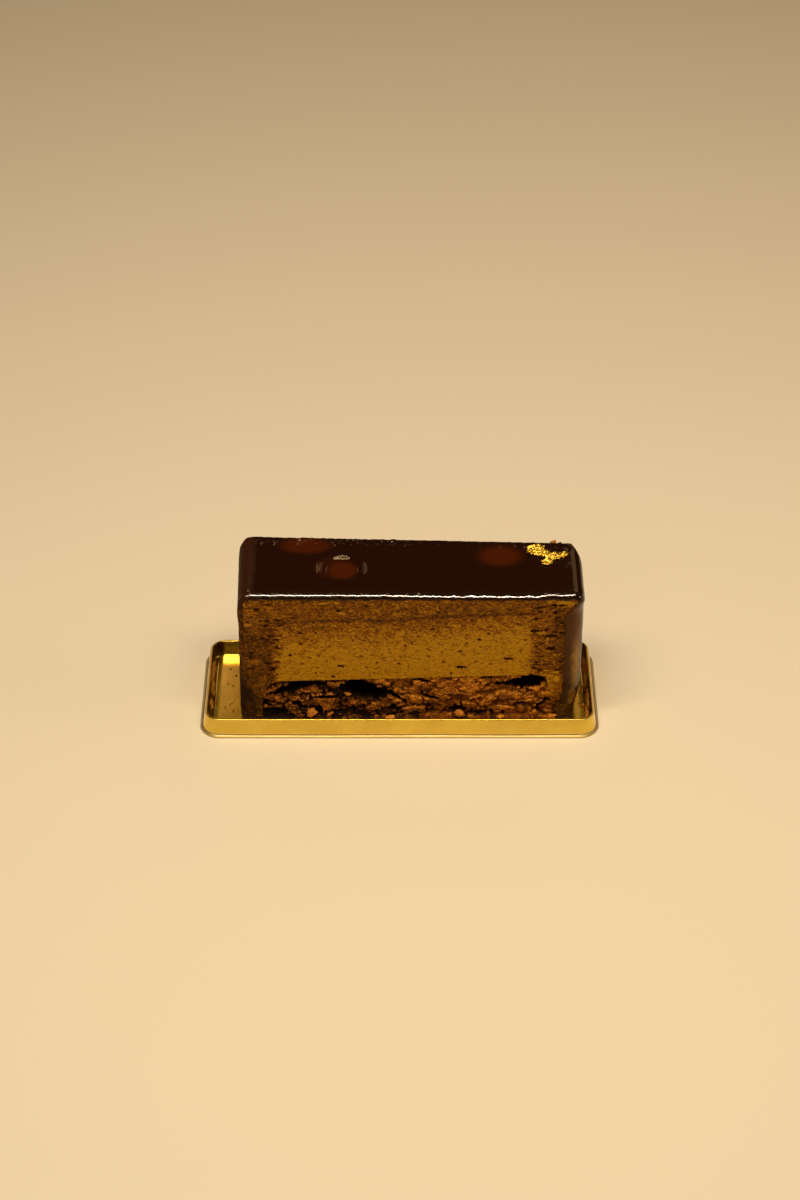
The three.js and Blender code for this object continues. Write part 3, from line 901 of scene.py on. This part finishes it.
def glaze_line(part, along, y):
    """The point of the outer face in the XZ plane, and the way out from it."""
    drip = DRIP_WAVE * abs(wave(y / 5, 0, 3 if part == "left" else 5))
    if part == "left":
        z = mix(DRIP_LEFT - drip, TOP - SHOULDER, along)
        return Vector((left_end(z), z)), Vector((-1, 0))
    if part == "left_shoulder":
        out = Vector((-math.cos(along * math.pi / 2), math.sin(along * math.pi / 2)))
        return Vector((LEFT + LEFT_LEAN + SHOULDER, TOP - SHOULDER)) + out * SHOULDER, out
    if part == "top":
        start, end = LEFT + LEFT_LEAN + SHOULDER, RIGHT - SHOULDER
        return Vector((mix(start, end, along), TOP)), Vector((0, 1))
    if part == "right_shoulder":
        out = Vector((math.sin(along * math.pi / 2), math.cos(along * math.pi / 2)))
        return Vector((RIGHT - SHOULDER, TOP - SHOULDER)) + out * SHOULDER, out
    z = mix(TOP - SHOULDER, DRIP_RIGHT - drip, along)
    return Vector((right_end(z), z)), Vector((1, 0))


def top_relief(x, y, far):
    """Height of the set glaze over its level: slow waves, the dent, lumps along the back edge."""
    rise = 0.09 * wave(x / 17, y / 13, 4) - 0.05
    rise += 0.03 * wave(x / 5, y / 5, 8)
    away = math.hypot(x - DENT[0], (y - DENT[1]) * 0.96)
    away += 0.25 * wave(x / 3, y / 3, 12)
    rise -= DENT_DEPTH * (1 - ramp(away, DENT_FOOT, DENT_SHOULDER))
    rise += LIP_RISE * ramp(away, DENT_FOOT, DENT_SHOULDER) * (1 - ramp(away, DENT_SHOULDER, DENT_LIP))
    rise += BEAD_RISE * (1 - ramp(math.hypot(x - BEAD[0], y - BEAD[1]), 0.1, BEAD_RADIUS))
    rise += 0.25 * ramp(y, far - 2.5, far - 0.8)
    bumpy = mix(1.0, 0.35, ramp(x, -5, 12)) * ramp(y, far - 5.0, far - 1.5)
    rise += bumpy * 0.55 * noise.fractal(Vector((x / 1.9, y / 1.4, 3)), 0.9, 2.0, 2)
    # Along the front cut the knife pulled the skin up at the left and down towards the right.
    sag = mix(0.25, -0.2, ramp(x, -30, 38)) + 0.5 * ramp(x, 42, 47)
    choppy = 0.16 * wave(x / 3.5, 2, 1) + 0.14 * wave(x / 1.2, 5, 1)
    rise += (sag + choppy) * (1 - ramp(y, FRONT + 0.8, FRONT + 3.2))
    drawn = ramp(x, -38, -20) * (1 - ramp(x, 8, 22)) * ramp(y, far - 9, far - 4)
    rise += drawn * 0.1 * wave(x / 5, (y + 0.15 * x) / 0.9, 7)
    return rise


along_bar = stations(
    ("left", END_STEPS),
    ("left_shoulder", SHOULDER_STEPS),
    ("top", TOP_STEPS),
    ("right_shoulder", SHOULDER_STEPS),
    ("right", END_STEPS),
)
across_bar = stations(("front", FILLET_STEPS), ("level", LEVEL_STEPS), ("back", FILLET_STEPS))
bm = bmesh.new()
film = bm.verts.layers.float.new("film")
edge_shine = bm.verts.layers.float.new("edge_shine")
segments = {"x_segments": len(along_bar) - 1, "y_segments": len(across_bar) - 1}
bmesh.ops.create_grid(bm, size=0.5, **segments)
under_verts = set(verts_in(bmesh.ops.extrude_face_region(bm, geom=bm.faces[:])["geom"]))
for vert in bm.verts:
    part, along = along_bar[round((vert.co.x + 0.5) * segments["x_segments"])]
    strip, share = across_bar[round((vert.co.y + 0.5) * segments["y_segments"])]
    spot, out = glaze_line(part, along, mix(FRONT, BACK_RIGHT, (vert.co.y + 0.5)))
    side = -1 if part.startswith("left") else 1
    endness = abs(out.x)
    far = back_at(spot.x)
    uneven = 1 + 0.4 * wave(spot.x / 2.3, spot.y / 3.0, 6)
    front_radius = mix(TOP_EDGE * uneven, front_corner(side, spot.y), endness)
    back_radius = mix(BACK_EDGE * uneven, BACK_CORNERS[side], endness)
    ragged = 0.8 * endness * abs(noise.fractal(Vector((spot.y / 3.6, 4, side * 9)), 0.7, 2, 2))
    if strip == "front":
        angle = mix(ragged / front_radius, math.pi / 2, share)
        y = FRONT + front_radius * (1 - math.cos(angle))
        depth, from_border = front_radius * (1 - math.sin(angle)), front_radius * angle
        limit = front_radius
        facing = -math.cos(angle)
    elif strip == "level":
        y = mix(FRONT + front_radius, far - back_radius, share)
        depth, from_border, limit, facing = 0, min(y - FRONT, far - y) + 0.5, 9, 0
    else:
        angle = mix(math.pi / 2, ragged / back_radius, share)
        y = far - back_radius * (1 - math.cos(angle))
        depth, from_border = back_radius * (1 - math.sin(angle)), back_radius * angle
        limit = back_radius
        facing = math.cos(angle)
    rise = 0.0
    if vert in under_verts:
        border = mix(TOP_BORDER, FILM_BORDER, endness)
        thick = mix(border, mix(GLAZE_TOP, GLAZE_END, endness), ramp(from_border, 0, 2.5))
        thick = min(thick, 0.75 * limit)
        depth += thick * math.sqrt(1 - facing**2)
        y -= thick * facing
    else:
        rise = (1 - endness) * top_relief(spot.x, y, far) * ramp(from_border, -0.2, 1.6)
        rise += endness * 0.1 * wave(y / 6, spot.y / 8, 2)
        bulge = math.exp(-(((spot.y - BULGE) / 3.5) ** 2)) if side < 0 else 0
        rise += endness * BULGE_OUT * bulge
    place_on = spot - out * (depth - rise)
    vert.co = (place_on.x - skew_at(place_on.x, y), y, place_on.y)
    drawn_thin = 1 - ramp(from_border + 1.2 * wave(y, spot.y / 2.5, 5), 0.0, 9.0)
    vert[film] = endness * drawn_thin * (1 - ramp(spot.y, 43, 47.5))
    shining = 1 - ramp(y, FRONT + front_radius + 0.4, FRONT + front_radius + 2.4)
    if strip == "front":
        shining = ramp(angle, 0.74, 0.9)
    vert[edge_shine] = shining * (1 - endness)

dark, place, paint = new_material(
    "mirror_glaze", Specular_IOR_Level=0.25, Specular_Tint=(1.0, 0.76, 0.44, 1), Coat_IOR=2.5
)
x_in, y_in, z_in = (place.along(axis) for axis in "XYZ")


def soft_spot(x, y, half_length, half_width, inner=0.45, outer=1.1):
    across = (x_in - x) / half_length
    along = (y_in - y) / half_width
    return (across * across + along * along).math("SQRT").between(outer, inner)


# Reddish-brown spots on the glaze's top, on the dent's floor and faintly round the dent.
red_spots = soft_spot(-30, 13.0, 9.5, 5.0).math("MAXIMUM", soft_spot(31.9, 7.5, 8.5, 6.5))
red_spots = red_spots.math("MAXIMUM", soft_spot(*DENT, DENT_FOOT, DENT_FOOT, 0.7, 1.1))
red_spots = red_spots.math("MAXIMUM", soft_spot(DENT[0] - 1.5, DENT[1], 8.5, 7.0, 0.6, 1.1) * 0.35)
cloud = place.grain(120, 2)
left_glow = x_in.between(-44.5, -50.5) * 0.45
down_end = z_in.between(TOP - SHOULDER, 30)
over_mousse = place.painted("film")
body = red_spots * (0.75 + 0.35 * cloud) + left_glow
body = body.blend((0.0145, 0.0038, 0.0014), (0.058, 0.0098, 0.0008))
speck = place.cells(420).between(0.16, 0.05) * over_mousse.between(0.1, 0.5)
at_left = x_in.between(-40, -44)
# The end film's own dark brown, with a painted reflection of the pale floor making it paler and greyer
# lower down.
film_and_floor_sheen = z_in.between(38, 24).blend((0.1, 0.025, 0.0008), (0.34, 0.16, 0.02))
film_brown = over_mousse.between(0.92, 0.45).blend((0.06, 0.017, 0.0007), film_and_floor_sheen)
film_left = over_mousse.between(0.55, 0.9) * place.grain(800, 4).between(0.38, 0.62)
film_left = film_left.blend((0.035, 0.011, 0.0008), (0.17, 0.055, 0.002))
film_brown = at_left.blend(film_brown, film_left)
low = z_in.between(25, 11) * (0.35 + 0.65 * place.grain(180, 3).between(0.4, 0.6))
film_brown = low.blend(film_brown, (0.015, 0.005, 0.0006))
film_brown = speck.blend(film_brown, (0.015, 0.004, 0.0006))
dullness = MIRROR + 1.4 * left_glow + down_end * (0.1 + 0.2 * cloud)
paint(
    Base_Color=over_mousse.between(0.0, 0.4).blend(body, film_brown),
    Roughness=dullness + 0.3 * over_mousse.between(0.5, 1.0),
    Coat_Weight=place.painted("edge_shine"),
    Normal=place.grain(260, 2).bumped(0.08, 0.0003),
)
glaze = finished("glaze_coat", bm, dark)
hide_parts("glaze")

# ---------- Gold leaf ----------
# A scrap of beaten gold leaf, torn with tweezers and dropped on the wet glaze, where it crumpled.

LEAF_PATCHES = [
    (43.5, 11.0, 2.9, 2.5, 0.3), (42.6, 8.8, 2.3, 1.3, -0.4), (45.6, 8.7, 3.2, 1.9, -0.5),
    (48.6, 7.0, 2.8, 1.9, -0.4), (51.4, 7.6, 2.4, 1.5, 0.5), (46.6, 3.9, 1.8, 1.9, 0.3),
]
LEAF_LOW, LEAF_HIGH = Vector((40, 1)), Vector((54, 14.5))
LEAF_THICKNESS = 0.05
LEAF_CELLS = (110, 106)
FOLD, CREASE = 0.45, 0.14  # heights


def outside_leaf(x, y):
    """Below 1 inside the nearest patch, with a torn edge."""
    torn = 0.34 * noise.fractal(Vector((x * 1.6, y * 1.6, 1)), 0.7, 2.0, 3)
    return torn + min(in_oval(x - at_x, y - at_y, *oval) for at_x, at_y, *oval in LEAF_PATCHES)


def second_skin(bm):
    """Doubles a torn sheet to give it thickness; gives the second skin's vertices, to be moved off."""
    bmesh.ops.delete(bm, geom=[v for v in bm.verts if not v.link_faces], context="VERTS")
    return verts_in(bmesh.ops.extrude_face_region(bm, geom=bm.faces[:])["geom"])


bm = bmesh.new()
bmesh.ops.create_grid(bm, x_segments=LEAF_CELLS[0], y_segments=LEAF_CELLS[1], size=0.5)
for vert in bm.verts:
    x = mix(LEAF_LOW.x, LEAF_HIGH.x, vert.co.x + 0.5)
    y = mix(LEAF_LOW.y, LEAF_HIGH.y, vert.co.y + 0.5)
    vert.co = (x, y, 0)
bmesh.ops.delete(bm, geom=[v for v in bm.verts if outside_leaf(*v.co.xy) > 1], context="VERTS")
for vert in bm.verts:
    x, y = vert.co.xy
    fold = 1 - abs(wave(x / 1.1, y / 1.1, 5)) * 2.2
    small = 1 - abs(wave(x / 0.45, y / 0.45, 9)) * 2
    sway = noise.noise_vector(Vector((x * 1.4, y * 1.4, 2))) * 0.25
    vert.co = (x + sway.x, y + sway.y, TOP + 0.1 + FOLD * max(0, fold) + CREASE * small)
for vert in second_skin(bm):
    vert.co.z += LEAF_THICKNESS
leaf_gold, place, paint = new_material("beaten_gold", Metallic=1.0, Roughness=0.36)
crease = place.cells(1800)
paint(
    Base_Color=crease.between(0.1, 0.8).blend((0.9, 0.52, 0.04), (0.98, 0.68, 0.1)),
    Normal=crease.bumped(0.35, 0.0003),
)
leaf = finished("leaf_scrap", bm, leaf_gold)
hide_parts("gold_leaf")

# ---------- Lick of glaze ----------
# The last string of glaze that ran off the pouring jug, set as a small hook on the back edge over
# a crumb of biscuit.

LICK_FOOT = Vector((50.6, 13.9, TOP - 0.4))
LICK_RADIUS = 0.9
LICK_LENGTH = 4.2
LICK_STEPS = 18
bm = bmesh.new()
ring = bmesh.ops.create_circle(bm, segments=10, radius=LICK_RADIUS)["verts"]
bmesh.ops.translate(bm, verts=ring, vec=LICK_FOOT)
ring = bm.edges[:]
for step in range(1, LICK_STEPS + 1):
    ring, moved = next_ring(bm, ring)
    share = step / LICK_STEPS
    middle = sum((vert.co for vert in moved), Vector()) / len(moved)
    way = Vector((0.5 * math.cos(share * 2.6), -0.75 * share, 0.9 - 1.1 * share))
    rise = way * LICK_LENGTH / LICK_STEPS
    slim = mix(0.9, 0.96, share) if share < 0.6 else 0.84
    for vert in moved:
        vert.co = middle + (vert.co - middle) * slim + rise
bmesh.ops.contextual_create(bm, geom=ring)
drop, place, paint = new_material("set_glaze", Specular_Tint=(1.0, 0.66, 0.36, 1))
paint(
    Base_Color=place.grain(700, 2).blend((0.02, 0.005, 0.001), (0.05, 0.012, 0.002)),
    Roughness=0.1 + 0.1 * place.grain(400, 2),
)
lick = finished("glaze_lick", bm, drop)

# ---------- Loose crumbs ----------
# Crumbs that fell off the base as the slice was set down: along both cuts, round both ends, and
# one on the back edge of the glaze.

# The crumbs that show most: x, y, z, half length.
SHOWN_CRUMBS = [
    (-28.1, -14.7, 4.1, 2.0), (-2.9, -18.7, 5.2, 1.8),
    (19.2, -14.8, 3.9, 1.7), (32.3, -15.0, 3.0, 1.3),
    (48.9, -14.9, 2.9, 1.6), (49.2, 14.6, TOP + 0.2, 1.1),
    (-53.6, -10.4, 2.0, 0.5), (-56.2, 3.5, 1.9, 0.4),
    (59.4, -8.0, 2.1, 0.6), (59.8, 1.5, 2.0, 0.5),
]
SMALL_CRUMBS = 70
bm = bmesh.new()
recess = bm.verts.layers.float.new("recess")
for x, y, z, reach in SHOWN_CRUMBS:
    spin = (draw.uniform(-0.5, 0.5), draw.uniform(-0.6, 0.6))
    for vert in crumb(bm, (x, y, z), (reach, reach * 0.75, reach * 0.6), spin, 3):
        vert[recess] = 0.0
for number in range(SMALL_CRUMBS):
    if number % 3:
        x, y = draw.uniform(-50, 56), draw.choice((-16.4, 19.0)) + draw.uniform(-1.0, 0.8)
    else:
        x, y = draw.choice((-54.5, 59.0)) + draw.uniform(-2.0, 1.0), draw.uniform(-15, 15)
    reach = draw.uniform(0.12, 0.42)
    spin = (draw.uniform(-0.5, 0.5), draw.uniform(-0.6, 0.6))
    z = TRAY_FLOOR + 0.4 * reach
    for vert in crumb(bm, (x, y, z), (reach, reach * 0.8, reach * 0.6), spin):
        vert[recess] = 1.6 * (number % 2)
loose = biscuit_finish("loose_biscuit", (0.34, 0.1, 0.01), (0.8, 0.3, 0.035))
crumbs = finished("loose_crumbs", bm, loose)

# ---------- Smears ----------
# Chocolate wiped off on the inside of the tray's walls as the slice was slid in.

SMEAR_RISE = 0.36  # of its middle
SMEAR_THICKNESS = 0.05
WALL_LEAN = math.atan2(DISH_FOOT - DISH_HEAD, TRAY_HEIGHT - TRAY_FLOOR)
SMEARS = [
    # end of the tray, y, height up the wall, half length, half height
    (-1, 8.0, 3.6, 5.0, 1.9),
    (-1, -1.0, 3.2, 4.4, 1.7),
    (-1, -9.5, 3.4, 3.4, 1.5),
    (1, -7.0, 3.6, 6.0, 2.0),
    (1, 3.5, 3.2, 4.4, 1.6),
    (1, -13.0, 2.6, 3.4, 1.3),
]
bm = bmesh.new()
for end, at_y, at_z, half_length, half_height in SMEARS:
    made = bmesh.ops.create_grid(bm, x_segments=44, y_segments=20, size=1)["verts"]
    thin_off = []
    for vert in made:
        along, up = vert.co.xy
        edge = math.hypot(along, up) + 0.45 * noise.fractal(Vector((along * 2, up * 3, at_y)), 0.8, 2, 3)
        thick = SMEAR_RISE * (1 - ramp(edge, 0.35, 0.95))
        z = at_z + up * half_height
        wall = TRAY_LENGTH / 2 - DISH_FOOT + (z - TRAY_FLOOR) * math.tan(WALL_LEAN)
        vert.co = (end * (wall + 0.03 - thick), at_y + along * half_length, z)
        if thick < SMEAR_THICKNESS:
            thin_off.append(vert)
    bmesh.ops.delete(bm, geom=thin_off, context="VERTS")
for vert in second_skin(bm):
    vert.co.x += math.copysign(SMEAR_THICKNESS, vert.co.x)
wiped, place, paint = new_material("wiped_chocolate", Specular_Tint=(1.0, 0.6, 0.2, 1))
paint(
    Base_Color=place.grain(600, 3).blend((0.2, 0.05, 0.004), (0.85, 0.36, 0.04)),
    Roughness=0.3 + 0.3 * place.grain(500, 2),
)
smears = finished("smears", bm, wiped)

# ---------- Floor and light ----------
# A plain pale floor under warm light: a row of pendant lamps overhead, dim ones from the front and
# the right, and two lit patches of wall at the back that the tray and the glaze mirror.

FLOOR_REACH = 3  # metres each way
LAMPLIGHT = (1.0, 0.86, 0.66)
WALL_LIGHT = (1.0, 0.64, 0.36)
PENDANTS = 6
PENDANT_POWER = 6.9  # watts, all together

bm = bmesh.new()
bmesh.ops.create_grid(bm, x_segments=1, y_segments=1, size=FLOOR_REACH)
pale_floor, place, paint = new_material("pale_floor", Roughness=0.6)
paint(Base_Color=place.grain(2, 2).blend((0.86, 0.75, 0.56), (0.84, 0.73, 0.54)))
floor = placed("floor", bm, pale_floor)


def lamp(name, place, aim, size, power, colour=LAMPLIGHT):
    data = bpy.data.lights.new(name, "AREA")
    data.shape = "ELLIPSE"
    data.size, data.size_y = size
    data.energy = power
    data.color = colour
    made = bpy.data.objects.new(name, data)
    made.location = place
    made.rotation_euler = (Vector(aim) - Vector(place)).to_track_quat("-Z", "Y").to_euler()
    bpy.context.scene.collection.objects.link(made)


for number in range(PENDANTS):
    x = mix(-0.3, 0.3, number / (PENDANTS - 1))
    lamp(f"pendant_{number}", (x, -0.16, 0.8), (0, 0, 0.03), (0.06, 0.5), PENDANT_POWER / PENDANTS)
lamp("over_viewer", (-0.3, -1.1, 0.8), (0, 0, 0.03), (0.7, 0.5), 1.1)
lamp("from_right", (0.9, -0.05, 0.4), (0.05, 0, 0.03), (0.3, 0.5), 0.8)
lamp("wall_left", (-0.24, 0.95, 0.72), (-0.055, 0, 0), (0.22, 0.2), 0.2, WALL_LIGHT)
lamp("wall_right", (0.365, 0.92, 0.72), (0.055, 0, 0), (0.46, 0.4), 0.5, WALL_LIGHT)

world = bpy.data.worlds.new("dim_room")
world.use_nodes = True
world.node_tree.nodes["Background"].inputs["Color"].default_value = (0.03, 0.018, 0.009, 1)
bpy.context.scene.world = world
bpy.context.scene.view_settings.view_transform = "Standard"
